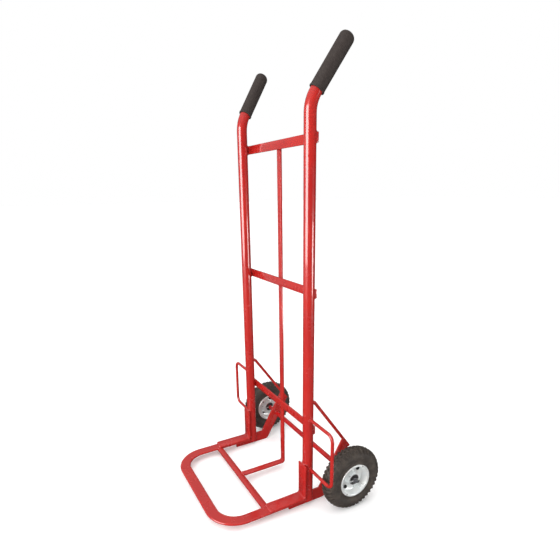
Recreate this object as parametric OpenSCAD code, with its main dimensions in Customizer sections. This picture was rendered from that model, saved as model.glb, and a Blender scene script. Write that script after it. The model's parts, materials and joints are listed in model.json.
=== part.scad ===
// Two-wheeled hand truck: welded tube frame, open toe frame, two pneumatic wheels.
// +X is the truck's left side as its user holds the grips, -Y is the toe's side,
// +Z is up, and the truck stands on Z = 0.  Sizes are millimetres.

/* [Uprights] */
// Outer diameter of the two bent upright tubes
tube_d = 32; // [25:0.5:40]
// Wall of the upright tubes
tube_wall = 2; // [1.2:0.1:3]
// Distance between the two uprights, centre to centre
upright_pitch = 400; // [300:5:520]
// Height of the open lower end of each upright above the ground
foot_height = 12; // [4:1:18]
// Height at which an upright's straight axis meets its handle's axis
handle_height = 1145; // [800:5:1400]
// Lean of the handles back from the vertical, in degrees
handle_lean = 33; // [15:1:55]
// Turn of the handles outwards about the uprights, in degrees
handle_splay = 15; // [0:1:30]
// Bend radius on the tube's axis where the handle begins
handle_bend_r = 90; // [60:5:120]
// Length of the handle from the meeting of the axes to the tube's end
handle_length = 169; // [120:1:260]

/* [Grips] */
// Thickness of a grip's sleeve
grip_wall = 3.25; // [2:0.25:6]
// Length of a grip with its closed end
grip_length = 146; // [100:1:180]
// Thickness of a grip's closed end
grip_end_wall = 5; // [2:0.5:8]
// Rounding of a grip's closed end
grip_end_r = 9; // [3:0.5:12]
// How far a grip's lip stands out beyond its body
grip_lip = 1; // [0.4:0.1:2]

/* [Crossbars and centre bar] */
// Height of a crossbar's face
bar_height = 25; // [15:1:40]
// Thickness of a crossbar
bar_thick = 5; // [3:0.5:8]
// How far a crossbar's end runs past the upright's centre
bar_overrun = 8; // [0:0.5:12]
// Height of the lower crossbar's middle
lower_bar_z = 252; // [180:1:340]
// Height of the middle crossbar's middle
middle_bar_z = 669; // [450:1:760]
// Distance from the top crossbar's middle up to the handle's meeting point
top_bar_drop = 81; // [60:1:140]
// Width of the centre bar
centre_bar_w = 20; // [12:1:30]
// Thickness of the centre bar
centre_bar_t = 6; // [4:0.5:8]
// Inner radius of the centre bar's bend
centre_bend_r = 5; // [3:0.5:20]

/* [Toe] */
// Distance from the uprights' plane to the toe frame's front edge
toe_reach = 306; // [220:2:420]
// Height of the toe frame's underside above the ground
toe_height = 20; // [8:1:30]
// Width of the toe frame's flat-oval tube
toe_w = 35; // [25:1:45]
// Thickness of the toe frame's flat-oval tube
toe_t = 8; // [6:0.5:14]
// Radius of the toe frame's front corners on the centre line
toe_corner_r = 80; // [40:5:120]
// Distance from the uprights' plane to the toe crossbar's centre line
toe_bar_back = 141; // [100:1:190]
// Width of the toe crossbar
toe_bar_w = 20; // [12:1:30]
// Thickness of the toe crossbar
toe_bar_t = 6; // [3:0.5:8]

/* [Straps] */
// Width of the two L-shaped toe straps
strap_w = 40; // [25:1:50]
// Thickness of the toe straps
strap_t = 5; // [3:0.5:8]
// Height of the top of a toe strap above the ground
strap_top = 143; // [90:1:200]
// Distance from the uprights' plane to a toe strap's front end
strap_reach = 138; // [80:1:180]
// Inner radius of a toe strap's bend
strap_bend_r = 6; // [3:0.5:15]

/* [Wheel brackets] */
// Width of the flat bar that makes a wheel bracket
bracket_w = 38; // [30:1:50]
// Thickness of a wheel bracket
bracket_t = 6; // [4:0.5:10]
// Distance from the uprights' plane forward to a bracket's front end
bracket_reach = 68; // [40:1:120]
// Distance from the rising arm's centre line back to the axle, measured level
bracket_offset = 7.8; // [0:0.1:12]
// Angle of a bracket's rising arm above the ground, in degrees
bracket_angle = 59.5; // [45:0.5:75]

/* [Stays and guards] */
// Diameter of the round rod of the stays and guards
rod_d = 10; // [6:0.5:14]
// Length of the stay's straight start behind its upright
stay_standoff = 5; // [4:0.5:30]
// Bend radius of a stay on its axis
stay_bend_r = 8; // [6:0.5:30]
// Distance from the axle back to a stay's lower end
stay_end_behind = 46; // [36:1:60]
// Height of a stay's lower end above the axle
stay_end_rise = 55; // [45:1:80]
// Angle of a stay below the level, in degrees
stay_angle = 54.5; // [45:0.5:65]
// Distance from the upright's centre out to a guard's outer run
guard_out = 125; // [100:1:160]
// Height of a guard's upper run
guard_top = 294; // [240:1:360]
// Height of a guard's lower run
guard_bottom = 127; // [90:1:160]
// Bend radius of a guard on its axis
guard_bend_r = 20; // [12:1:40]

/* [Wheels and axle] */
// Outer diameter of a wheel
wheel_d = 200; // [160:2:260]
// Gap between a wheel's tread and its guard's rod
guard_gap = 3; // [2:0.5:15]
// Diameter of the axle
axle_d = 16; // [10:0.5:20]
// Distance from an upright's centre out to its wheel's middle plane
wheel_out = 75; // [60:1:95]
// Outer diameter of a rim's flange
rim_d = 104; // [90:1:125]
// Sheet thickness of the rim halves
rim_t = 2; // [1.5:0.1:3]
// How deep a tyre's round section sits inside its rim's flanges
tyre_sink = 2; // [1:0.5:6]
// Bolt circle of the rim bolts
rim_bolt_circle = 68; // [60:0.5:76]
// Number of rim bolts
rim_bolt_count = 4; // [3:1:6]
// Diameter of a rim bolt
rim_bolt_d = 6; // [5:0.5:8]
// Outer diameter of the hub tube
hub_d = 40; // [38:0.5:46]
// Length of the hub tube
hub_length = 34; // [26:1:60]
// Outer diameter of a wheel bearing
bearing_d = 35; // [32:0.5:37]
// Width of a wheel bearing
bearing_w = 11; // [8:0.5:14]
// Diameter of an axle washer
washer_d = 24; // [22:0.5:30]
// Thickness of an axle washer
washer_t = 2; // [1:0.25:4]
// Diameter of a split pin
split_pin_d = 3; // [2:0.25:4]

/* [Hidden] */
$fn = 72;

LEFT = 1;
RIGHT = -1;

// A bend is this much fuller than the straight runs, which lap a little way into it.
bend_full = 0.02;
bend_lap = 0.2;

// Places that follow from the sizes above
tube_r = tube_d / 2;
upright_x = upright_pitch / 2;
axle_z = wheel_d / 2;
axle_back = wheel_d / 2 + rod_d / 2 + guard_gap;
wheel_x = upright_x + wheel_out;
// The origin is under the middle of the whole truck, so the uprights stand behind it.
upright_y = (toe_reach - axle_back - wheel_d / 2) / 2;

// Frame
grip_lip_h = 5;
handle_bend_t = handle_bend_r * tan(handle_lean / 2);
top_bar_z = handle_height - top_bar_drop;
bar_y = tube_r + bar_thick / 2;
centre_bar_y = tube_r + bar_thick;
toe_top = toe_height + toe_t;
toe_x = upright_x;
toe_arm_gap = 0.5;
toe_arm_end = tube_r + toe_arm_gap;

// Wheel brackets and stays
bracket_mid_z = bracket_w / 2;
bracket_bend_back = axle_back - bracket_offset - (axle_z - bracket_mid_z) / tan(bracket_angle);
stay_kink_y = tube_r + stay_standoff;
stay_end_back = axle_back + stay_end_behind;
stay_end_z = axle_z + stay_end_rise;
stay_run = stay_end_back - stay_kink_y;
stay_top = stay_end_z + stay_run * tan(stay_angle);
stay_bend_t = stay_bend_r * tan(stay_angle / 2);
stay_length = stay_run / cos(stay_angle) - stay_bend_t;
bracket_arm = (stay_end_z + bracket_w) / sin(bracket_angle);

// Wheels
running_gap = 0.05;
side_gap = 0.4;
fit_gap = 0.3;
tyre_wall = 5;
tyre_w = (wheel_d - rim_d) / 2 + tyre_sink;
tyre_mid_r = wheel_d / 2 - tyre_w / 2;
flange_h = 4;
flange_inset = 2;
tyre_bead_r = rim_d / 2 - flange_h;
bead_gap = 4;
tread_inset = 4;
tread_drop = 5;
crown_drop = 1;
inner_tube_wall = 2;
rim_seat_r = tyre_bead_r - fit_gap;
rim_flange_x = tyre_w / 2 - flange_inset;
rim_boss_h = 8;
rim_bolt_head_h = 4;
rim_nut_h = 5;
rim_bolt_tail = 2;
rim_bolt_turn = 48;
bearing_race = 2;
bearing_inner_d = axle_d + 2 * bearing_race;
ball_count = 8;
ball_circle_r = (bearing_inner_d / 2 + bearing_d / 2 - bearing_race) / 2;
ball_d = bearing_d / 2 - bearing_race - bearing_inner_d / 2 - 2 * fit_gap;
seal_t = 1.2;
hub_wall = 5;
bearing_out = hub_length / 2 - bearing_w;
washer_out = hub_length / 2 + side_gap;
pin_out = washer_out + washer_t + fit_gap + split_pin_d / 2;
pin_spare = 10;
pin_to_end = 5;
axle_end = wheel_x + pin_out + pin_to_end;
valve_r = 38;
valve_d = 6;
valve_cap_d = 8;
valve_cap_h = 7;
valve_in = 8;
valve_out = tyre_w / 2 - flange_inset;

// ---------- shared shapes ----------

module paint(c) { color(c) translate([0, upright_y, 0]) children(); }

// One side of the truck: the right side is the left side mirrored.
module side(s) { mirror([s == RIGHT ? 1 : 0, 0, 0]) children(); }

// A profile drawn as (Y, Z), made w wide across X and centred on X = 0.
module across(w) { rotate([90, 0, 90]) linear_extrude(w, center = true) children(); }

// A quarter of a flat ring, in the quadrant of +X and -Y.
module quarter_ring(r, t) {
    intersection() {
        difference() {
            circle(r + t);
            circle(r);
        }
        translate([0, -r - t]) square(r + t);
    }
}

// A flat bar bent from a level run that ends at the origin's left into a rising run.
// back and base are the outer faces; level and rise are measured from them.
module bent_bar(back, base, level, rise, t, r) {
    translate([-level, base]) square([level + back - t - r, t]);
    translate([back - t, base + t + r]) square([t, rise - t - r]);
    translate([back - t - r, base + t + r]) quarter_ring(r, t);
}

module tube_section(full = 0) {
    difference() {
        circle(tube_r + full);
        circle(tube_r - tube_wall - full);
    }
}

// ---------- frame ----------

// The point where an upright's axis meets its handle's axis, turned with the handle.
module handle_corner() {
    translate([0, 0, handle_height]) rotate([0, 0, -handle_splay]) children();
}

module upright_body() {
    leg = handle_height - handle_bend_t - foot_height;
    handle = handle_length - handle_bend_t;
    handle_corner() {
        translate([0, 0, bend_lap - handle_bend_t]) mirror([0, 0, 1])
            linear_extrude(leg + bend_lap) tube_section();
        translate([0, handle_bend_r, -handle_bend_t]) rotate([90, 0, -90])
            rotate_extrude(angle = handle_lean)
                translate([handle_bend_r, 0]) tube_section(bend_full);
        rotate([-handle_lean, 0, 0]) translate([0, 0, handle_bend_t - bend_lap])
            linear_extrude(handle + bend_lap) tube_section();
    }
}

module bracket_slot() {
    slot_height = bracket_w - foot_height;
    translate([-bracket_t / 2, -tube_d, foot_height - 1])
        cube([bracket_t, 2 * tube_d, slot_height + 1]);
}

module upright(s) {
    paint("#c8201e") side(s) translate([upright_x, 0, 0]) difference() {
        upright_body();
        bracket_slot();
    }
}

module grip_profile() {
    grip_r = tube_r + grip_wall;
    difference() {
        union() {
            square([grip_r, grip_length - grip_end_r]);
            square([grip_r - grip_end_r, grip_length]);
            translate([grip_r - grip_end_r, grip_length - grip_end_r]) circle(grip_end_r);
            square([grip_r + grip_lip, grip_lip_h]);
        }
        translate([-grip_r, -1]) square([grip_r, grip_length + 2]);
        translate([0, -1]) square([tube_r, grip_length - grip_end_wall + 1]);
    }
}

module grip(s) {
    start = handle_length + grip_end_wall - grip_length;
    paint("#2b2523") side(s) translate([upright_x, 0, 0]) handle_corner()
        rotate([-handle_lean, 0, 0]) translate([0, 0, start]) rotate_extrude() grip_profile();
}

module crossbar(z) {
    length = upright_pitch + 2 * bar_overrun;
    paint("#c8201e") translate([0, bar_y, z])
        cube([length, bar_thick, bar_height], center = true);
}

module centre_bar() {
    rise = top_bar_z + bar_height / 2 - toe_top + centre_bar_t;
    level = toe_bar_back - toe_bar_w / 2;
    paint("#c8201e") across(centre_bar_w)
        bent_bar(centre_bar_y + centre_bar_t, toe_top - centre_bar_t, level, rise,
            centre_bar_t, centre_bend_r);
}

// The toe frame's flat-oval section.
module toe_section() {
    square([toe_w - toe_t, toe_t], center = true);
    for (end = [-1, 1]) translate([end * (toe_w - toe_t) / 2, 0]) circle(toe_t / 2);
}

module toe_half() {
    front_y = toe_reach - toe_w / 2;
    arm_start = front_y - toe_corner_r;
    translate([toe_x, -arm_start, 0]) rotate([-90, 0, 0])
        linear_extrude(arm_start - toe_arm_end) toe_section();
    translate([toe_x - toe_corner_r, -arm_start, 0]) rotate([0, 0, -90])
        rotate_extrude(angle = 90) translate([toe_corner_r, 0]) toe_section();
    translate([0, -front_y, 0]) rotate([90, 0, 90])
        linear_extrude(toe_x - toe_corner_r) toe_section();
}

module toe_frame() {
    paint("#cf2a26") translate([0, 0, toe_height + toe_t / 2]) for (s = [LEFT, RIGHT])
        side(s) toe_half();
}

// The toe crossbar's ends are cut to fit the round edges of the arms.
module toe_crossbar() {
    length = 2 * toe_x - toe_w + toe_t;
    paint("#cf2a26") translate([0, -toe_bar_back, toe_height + toe_t / 2]) difference() {
        cube([length, toe_bar_w, toe_bar_t], center = true);
        for (s = [LEFT, RIGHT]) translate([s * toe_x, toe_bar_w, 0]) rotate([90, 0, 0])
            linear_extrude(2 * toe_bar_w) toe_section();
    }
}

module toe_strap(s) {
    paint("#cf2a26") side(s) translate([upright_x, 0, 0]) across(strap_w)
        bent_bar(-tube_r, toe_top, strap_reach, strap_top - toe_top, strap_t, strap_bend_r);
}

// A bracket's outline as (Y, Z): a level foot, a bend and a rising arm whose top
// is cut along the underside of the stay.
module bracket_outline() {
    difference() {
        union() {
            translate([-bracket_reach, 0])
                square([bracket_reach + bracket_bend_back, bracket_w]);
            translate([bracket_bend_back, bracket_mid_z]) {
                circle(bracket_w / 2);
                rotate(bracket_angle) translate([0, -bracket_w / 2])
                    square([bracket_arm, bracket_w]);
            }
        }
        translate([stay_end_back, stay_end_z]) rotate(-stay_angle)
            translate([-bracket_arm, -rod_d / 2]) square([2 * bracket_arm, bracket_arm]);
        translate([-bracket_reach - 1, toe_height])
            square([bracket_reach + 1 - tube_r, bracket_w]);
    }
}

module wheel_bracket(s) {
    paint("#b81c1b") side(s) translate([upright_x, 0, 0]) difference() {
        across(bracket_t) bracket_outline();
        translate([0, axle_back, axle_z]) rotate([0, 90, 0])
            cylinder(h = 2 * bracket_t, d = axle_d, center = true);
    }
}

// A stay is drawn about the centre of its bend.
module stay(s) {
    paint("#c8201e") side(s)
        translate([upright_x, stay_kink_y - stay_bend_t, stay_top - stay_bend_r]) {
            translate([0, bend_lap, stay_bend_r]) rotate([90, 0, 0])
                cylinder(h = stay_standoff - stay_bend_t + bend_lap, d = rod_d);
            rotate([0, -90, 0]) rotate_extrude(angle = stay_angle)
                translate([stay_bend_r, 0]) circle(rod_d / 2 + bend_full);
            rotate([-stay_angle, 0, 0]) translate([0, -bend_lap, stay_bend_r])
                rotate([-90, 0, 0]) cylinder(h = stay_length + bend_lap, d = rod_d);
        }
}

module wheel_guard(s) {
    level = guard_out - tube_r - guard_bend_r;
    rise = guard_top - guard_bottom - 2 * guard_bend_r;
    paint("#c8201e") side(s) translate([upright_x, 0, (guard_top + guard_bottom) / 2]) {
        translate([guard_out, 0, 0]) cylinder(h = rise, d = rod_d, center = true);
        for (up = [0, 1]) mirror([0, 0, up]) {
            translate([guard_out - guard_bend_r, 0, rise / 2]) rotate([90, 0, 0])
                rotate_extrude(angle = 90) translate([guard_bend_r, 0]) circle(rod_d / 2);
            translate([tube_r, 0, rise / 2 + guard_bend_r]) rotate([0, 90, 0])
                cylinder(h = level, d = rod_d);
        }
    }
}

// ---------- axle and what is fixed to it ----------

module on_axle() { translate([0, axle_back, axle_z]) rotate([0, 90, 0]) children(); }

module pin_place() {
    for (x = [wheel_x - pin_out, wheel_x + pin_out]) translate([0, 0, x]) children();
}

module axle() {
    hole_d = split_pin_d + 2 * running_gap;
    paint("#b81c1b") on_axle() difference() {
        cylinder(h = 2 * axle_end, d = axle_d, center = true);
        for (s = [LEFT, RIGHT]) mirror([0, 0, s == RIGHT ? 1 : 0]) pin_place()
            rotate([90, 0, 0]) cylinder(h = 2 * axle_d, d = hole_d, center = true);
    }
}

module flat_ring(od, id, h) {
    difference() {
        cylinder(h = h, d = od);
        translate([0, 0, -1]) cylinder(h = h + 2, d = id);
    }
}

module axle_washers() {
    paint("#262322") on_axle() for (s = [0, 1]) mirror([0, 0, s])
        for (x = [wheel_x - washer_out - washer_t, wheel_x + washer_out])
            translate([0, 0, x]) flat_ring(washer_d, axle_d + 2 * running_gap, washer_t);
}

// A split pin stands through the axle along Y with its round eye at the front.
module split_pin() {
    leg = axle_d + pin_spare;
    eye_r = split_pin_d * 0.9;
    rotate([90, 0, 0]) translate([0, 0, -leg / 2]) cylinder(h = leg, d = split_pin_d);
    translate([0, -leg / 2 - eye_r, 0]) rotate_extrude()
        translate([eye_r, 0]) circle(split_pin_d / 4);
}

module split_pins() {
    paint("#c9ccd0") on_axle() for (s = [0, 1]) mirror([0, 0, s]) pin_place() split_pin();
}

// Both bearings of one wheel, each as its own children placed from the bearing's outer face.
module both_bearings() {
    for (out = [0, 1]) mirror([0, 0, out]) translate([0, 0, bearing_out]) children();
}

module at_wheel(s) {
    on_axle() translate([0, 0, s * wheel_x]) mirror([0, 0, s == RIGHT ? 1 : 0]) children();
}

module bearing_inner_rings() {
    paint("#c9ccd0") for (s = [LEFT, RIGHT]) at_wheel(s) both_bearings()
        flat_ring(bearing_inner_d, axle_d, bearing_w);
}

// ---------- wheels ----------

// A tyre's outline without its cavity, as (radius, X): carcass, beads and tread.
module tyre_outline() {
    half_tread = tyre_w / 2 - tread_inset;
    outer_r = wheel_d / 2;
    shoulder_r = outer_r - tread_drop;
    crown_r = outer_r - crown_drop;
    bead_x = rim_flange_x - fit_gap;
    translate([tyre_mid_r, 0]) circle(tyre_w / 2);
    translate([tyre_bead_r, -bead_x]) square([tyre_mid_r - tyre_bead_r, 2 * bead_x]);
    polygon([[tyre_mid_r, -half_tread - 2], [shoulder_r, -half_tread + 1],
        [crown_r, -half_tread / 2], [outer_r, -half_tread / 5],
        [outer_r, half_tread / 5], [crown_r, half_tread / 2],
        [shoulder_r, half_tread - 1], [tyre_mid_r, half_tread + 2]]);
}

module tyre(s) {
    cavity_r = tyre_w / 2 - tyre_wall;
    paint("#3a3431") at_wheel(s) rotate_extrude() difference() {
        tyre_outline();
        translate([tyre_mid_r, 0]) circle(cavity_r);
        // The tyre is open towards the rim between its beads.
        translate([0, bead_gap / 2 - cavity_r]) square([tyre_mid_r, 2 * cavity_r - bead_gap]);
    }
}

module inner_tube(s) {
    tube_outer_r = tyre_w / 2 - tyre_wall - fit_gap;
    paint("#1f1d1c") at_wheel(s) rotate_extrude() translate([tyre_mid_r, 0]) difference() {
        circle(tube_outer_r);
        circle(tube_outer_r - inner_tube_wall);
    }
}

// One pressed half of a rim, from its centre disc out to its flange, in (radius, X).
module rim_half_profile() {
    hub_r = hub_d / 2;
    barrel_r = rim_seat_r - rim_t;
    translate([hub_r, 0]) square([rim_seat_r - hub_r, rim_t]);
    translate([hub_r, 0]) square([rim_t, rim_boss_h]);
    translate([barrel_r, 0]) square([rim_t, rim_flange_x]);
    translate([barrel_r, rim_flange_x]) square([rim_d / 2 - barrel_r, rim_t]);
}

module rim_bolt_places() {
    for (i = [0 : rim_bolt_count - 1]) rotate(rim_bolt_turn + i * 360 / rim_bolt_count)
        translate([rim_bolt_circle / 2, 0, 0]) children();
}

// The valve's radial stem starts here, on the side away from the wheel's outer face.
module valve_stem_place() {
    rotate(180) translate([valve_r, 0, valve_in]) rotate([0, 90, 0]) children();
}

module rim_half(s, out) {
    hole_d = rim_bolt_d + 2 * running_gap;
    paint("#d5d8dc") at_wheel(s) mirror([0, 0, out]) difference() {
        rotate_extrude() rim_half_profile();
        rim_bolt_places() cylinder(h = 4 * rim_t, d = hole_d, center = true);
        if (out == 1) valve_stem_place() cylinder(h = rim_d, d = valve_d + 2 * running_gap);
    }
}

module rim_bolts(s) {
    grip_len = 2 * rim_t + rim_nut_h + rim_bolt_tail;
    paint("#b9bcc1") at_wheel(s) rim_bolt_places() {
        translate([0, 0, rim_t]) cylinder(h = rim_bolt_head_h, d = rim_bolt_d * 2, $fn = 6);
        translate([0, 0, rim_t - grip_len]) cylinder(h = grip_len, d = rim_bolt_d);
    }
}

module rim_nuts(s) {
    paint("#b9bcc1") at_wheel(s) rim_bolt_places() translate([0, 0, -rim_t - rim_nut_h])
        difference() {
            cylinder(h = rim_nut_h, d = rim_bolt_d * 2, $fn = 6);
            translate([0, 0, -1]) cylinder(h = rim_nut_h + 2, d = rim_bolt_d);
        }
}

module hub(s) {
    paint("#cfd2d6") at_wheel(s) difference() {
        cylinder(h = hub_length, d = hub_d, center = true);
        cylinder(h = hub_length + 2, d = hub_d - 2 * hub_wall, center = true);
        both_bearings() cylinder(h = bearing_w + 1, d = bearing_d);
    }
}

module bearing_outer_rings(s) {
    paint("#d9dbde") at_wheel(s) both_bearings()
        flat_ring(bearing_d, bearing_d - 2 * bearing_race, bearing_w);
}

module bearing_balls(s) {
    paint("#e2e4e6") at_wheel(s) both_bearings() translate([0, 0, bearing_w / 2])
        for (i = [0 : ball_count - 1]) rotate(i * 360 / ball_count)
            translate([ball_circle_r, 0, 0]) sphere(d = ball_d);
}

module bearing_seals(s) {
    seal_id = bearing_inner_d + 2 * running_gap;
    paint("#262322") at_wheel(s) both_bearings() for (z = [0, bearing_w - seal_t])
        translate([0, 0, z]) flat_ring(bearing_d - 2 * bearing_race, seal_id, seal_t);
}

module valve(s) {
    stem = tyre_mid_r - tyre_w / 2 + tyre_wall - valve_r;
    paint("#4a4340") at_wheel(s) mirror([0, 0, 1]) valve_stem_place() {
        cylinder(h = stem, d = valve_d);
        sphere(d = valve_d);
        rotate([0, -90, 0]) cylinder(h = valve_out - valve_in, d = valve_d);
        rotate([0, -90, 0]) translate([0, 0, valve_out - valve_in - valve_cap_h])
            cylinder(h = valve_cap_h, d = valve_cap_d);
    }
}

upright(LEFT);  // upright_left
upright(RIGHT);  // upright_right
grip(LEFT);  // grip_left
grip(RIGHT);  // grip_right
crossbar(top_bar_z);  // crossbar_top
crossbar(middle_bar_z);  // crossbar_middle
crossbar(lower_bar_z);  // crossbar_lower
centre_bar();
toe_frame();
toe_crossbar();
toe_strap(LEFT);  // toe_strap_left
toe_strap(RIGHT);  // toe_strap_right
wheel_bracket(LEFT);  // wheel_bracket_left
wheel_bracket(RIGHT);  // wheel_bracket_right
stay(LEFT);  // stay_left
stay(RIGHT);  // stay_right
wheel_guard(LEFT);  // wheel_guard_left
wheel_guard(RIGHT);  // wheel_guard_right
axle();
axle_washers();
split_pins();
bearing_inner_rings();
tyre(LEFT);  // tyre_left
inner_tube(LEFT);  // inner_tube_left
rim_half(LEFT, 0);  // rim_outer_left
rim_half(LEFT, 1);  // rim_inner_left
rim_bolts(LEFT);  // rim_bolts_left
rim_nuts(LEFT);  // rim_nuts_left
hub(LEFT);  // hub_left
bearing_outer_rings(LEFT);  // bearing_outer_rings_left
bearing_balls(LEFT);  // bearing_balls_left
bearing_seals(LEFT);  // bearing_seals_left
valve(LEFT);  // valve_left
tyre(RIGHT);  // tyre_right
inner_tube(RIGHT);  // inner_tube_right
rim_half(RIGHT, 0);  // rim_outer_right
rim_half(RIGHT, 1);  // rim_inner_right
rim_bolts(RIGHT);  // rim_bolts_right
rim_nuts(RIGHT);  // rim_nuts_right
hub(RIGHT);  // hub_right
bearing_outer_rings(RIGHT);  // bearing_outer_rings_right
bearing_balls(RIGHT);  // bearing_balls_right
bearing_seals(RIGHT);  // bearing_seals_right
valve(RIGHT);  // valve_right
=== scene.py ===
# %% [markdown]
# # A welded hand truck, from frame to finish
# A hand truck is a steel frame on two wheels: two bent tubes, flat bars welded across
# them, an open toe at the front and a pneumatic wheel on each side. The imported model
# gives its exact solids. Here those solids get paint, plate and rubber, and the pieces
# with more shape than a plain solid, such as the tyres, are made again in detail.

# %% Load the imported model
import json
import math

import bmesh
import bpy
from mathutils import Matrix, Vector


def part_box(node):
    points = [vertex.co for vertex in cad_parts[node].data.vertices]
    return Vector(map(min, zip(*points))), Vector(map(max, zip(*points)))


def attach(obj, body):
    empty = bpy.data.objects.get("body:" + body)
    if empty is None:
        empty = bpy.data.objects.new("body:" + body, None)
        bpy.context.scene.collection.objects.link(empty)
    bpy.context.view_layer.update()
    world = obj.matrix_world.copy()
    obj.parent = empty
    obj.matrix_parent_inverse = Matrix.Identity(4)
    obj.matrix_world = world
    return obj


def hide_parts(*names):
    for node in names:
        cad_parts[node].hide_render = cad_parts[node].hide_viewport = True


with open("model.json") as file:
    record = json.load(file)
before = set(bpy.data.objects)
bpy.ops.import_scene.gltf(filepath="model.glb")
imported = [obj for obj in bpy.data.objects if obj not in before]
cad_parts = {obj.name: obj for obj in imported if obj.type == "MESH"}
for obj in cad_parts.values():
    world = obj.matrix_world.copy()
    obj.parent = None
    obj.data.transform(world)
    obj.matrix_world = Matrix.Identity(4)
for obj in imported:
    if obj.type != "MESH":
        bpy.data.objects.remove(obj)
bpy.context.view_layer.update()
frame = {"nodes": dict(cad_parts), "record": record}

print("solids:", len(frame["nodes"]))

# %% [markdown]
# The camera comes first, because every later choice is judged through it. It stands at
# the truck's left and a little in front, about 1.3 m away and 0.94 m up. Its axes are
# built from a turn, a height and a small roll, and the view is shifted on the sensor
# instead of tilting the camera more.

# %% Camera
CAMERA_PLACE = Vector((1.1875, -0.5848, 0.9371))
CAMERA_TURN = math.radians(61.19)
CAMERA_HEIGHT = math.radians(16.95)
CAMERA_ROLL = math.radians(0.72)
CAMERA_LENS = 28.385
SENSOR_WIDTH = 36
VIEW_SHIFT = 0.082

across_view = Vector((math.cos(CAMERA_TURN), math.sin(CAMERA_TURN), 0))
towards_camera = Vector((math.sin(CAMERA_TURN) * math.cos(CAMERA_HEIGHT),
                         -math.cos(CAMERA_TURN) * math.cos(CAMERA_HEIGHT),
                         math.sin(CAMERA_HEIGHT)))
up_view = towards_camera.cross(across_view)
camera_right = across_view * math.cos(CAMERA_ROLL) - up_view * math.sin(CAMERA_ROLL)
camera_up = across_view * math.sin(CAMERA_ROLL) + up_view * math.cos(CAMERA_ROLL)

camera_data = bpy.data.cameras.new("camera")
camera_data.lens = CAMERA_LENS
camera_data.sensor_width = SENSOR_WIDTH
camera_data.shift_y = VIEW_SHIFT
camera = bpy.data.objects.new("camera", camera_data)
camera.matrix_world = Matrix.Translation(CAMERA_PLACE) @ Matrix(
    (camera_right, camera_up, towards_camera)).transposed().to_4x4()
bpy.context.collection.objects.link(camera)
bpy.context.scene.camera = camera
print("camera at", [round(v, 3) for v in CAMERA_PLACE])

# %% [markdown]
# A pale floor and soft light keep attention on the object. The floor is wide enough
# for its far edge to melt into the white room. What lights the paint and what the paint
# mirrors are kept apart, as a studio does with large sheets and dark curtains: the room
# is white to the eye, soft as a lamp, and nearly black in a reflection near the horizon.
# Dark surroundings are what give a glossy tube its dark edges.

# %% Floor and room
FLOOR_SIZE = 80.0
ROOM_LIGHT = 0.38
MIRRORED_LOW = 0.05
MIRRORED_HIGH = 0.55
CLIMB_FROM = 0.12
CLIMB_TO = 0.75

floor_mesh = bpy.data.meshes.new("floor")
half = FLOOR_SIZE / 2
floor_corners = [(-half, -half, 0), (half, -half, 0), (half, half, 0), (-half, half, 0)]
floor_mesh.from_pydata(floor_corners, [], [(0, 1, 2, 3)])
floor = bpy.data.objects.new("floor", floor_mesh)
floor.visible_glossy = False
bpy.context.collection.objects.link(floor)

world = bpy.data.worlds.new("room")
world.use_nodes = True
room_nodes, room_links = world.node_tree.nodes, world.node_tree.links
room_nodes.clear()


def room_shade(strength):
    """A white background shader of one strength."""
    shade = room_nodes.new("ShaderNodeBackground")
    shade.inputs["Color"].default_value = (1, 1, 1, 1)
    shade.inputs["Strength"].default_value = strength
    return shade


def choose_shade(ray_kind, otherwise, for_ray):
    """Uses one shader for one kind of ray and another for the rest."""
    choose = room_nodes.new("ShaderNodeMixShader")
    room_links.new(ray.outputs[ray_kind], choose.inputs[0])
    room_links.new(otherwise.outputs[0], choose.inputs[1])
    room_links.new(for_ray.outputs[0], choose.inputs[2])
    return choose


ray = room_nodes.new("ShaderNodeLightPath")
direction = room_nodes.new("ShaderNodeTexCoord")
split = room_nodes.new("ShaderNodeSeparateXYZ")
climb = room_nodes.new("ShaderNodeMapRange")
for index, value in ((1, CLIMB_FROM), (2, CLIMB_TO), (3, MIRRORED_LOW), (4, MIRRORED_HIGH)):
    climb.inputs[index].default_value = value
mirrored_room = room_shade(0.0)
room_links.new(direction.outputs["Generated"], split.inputs[0])
room_links.new(split.outputs["Z"], climb.inputs[0])
room_links.new(climb.outputs[0], mirrored_room.inputs["Strength"])
shades = choose_shade("Is Glossy Ray", room_shade(ROOM_LIGHT), mirrored_room)
shades = choose_shade("Is Camera Ray", shades, room_shade(1.0))
room_out = room_nodes.new("ShaderNodeOutputWorld")
room_links.new(shades.outputs[0], room_out.inputs[0])
bpy.context.scene.world = world
bpy.context.scene.view_settings.view_transform = "Standard"
print("floor", FLOOR_SIZE, "m wide")

# %% [markdown]
# Two lamps light the truck without showing in its gloss: a soft sun from above and a
# tall panel in front. Four more show only in the gloss. The wide one draws the broad
# pale line down the left of each tube, the low one a short line on the right, a dim
# one lifts the flat bars, and the sheet on the floor gives the rims something white to
# mirror. No real lamp does only one of the two, but it lets each be set on its own.

# %% Lamps
def soft_lamp(name, kind, place, target, energy, size, lights_paint, shows_in_gloss):
    """A lamp that faces a target. A sun's size is its angle, a panel's is its sides."""
    data = bpy.data.lights.new(name, kind)
    data.energy = energy
    if kind == "SUN":
        data.angle = size
    else:
        data.shape = "RECTANGLE"
        data.size, data.size_y = size
    lamp = bpy.data.objects.new(name, data)
    lamp.location = place
    lamp.rotation_euler = (Vector(place) - Vector(target)).to_track_quat("Z", "Y").to_euler()
    lamp.visible_camera = False
    lamp.visible_diffuse = lights_paint
    lamp.visible_glossy = shows_in_gloss
    bpy.context.collection.objects.link(lamp)


def panel_power(radiance, size):
    """The power that gives a panel of a size the brightness wanted."""
    return radiance * math.pi * size[0] * size[1]


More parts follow.
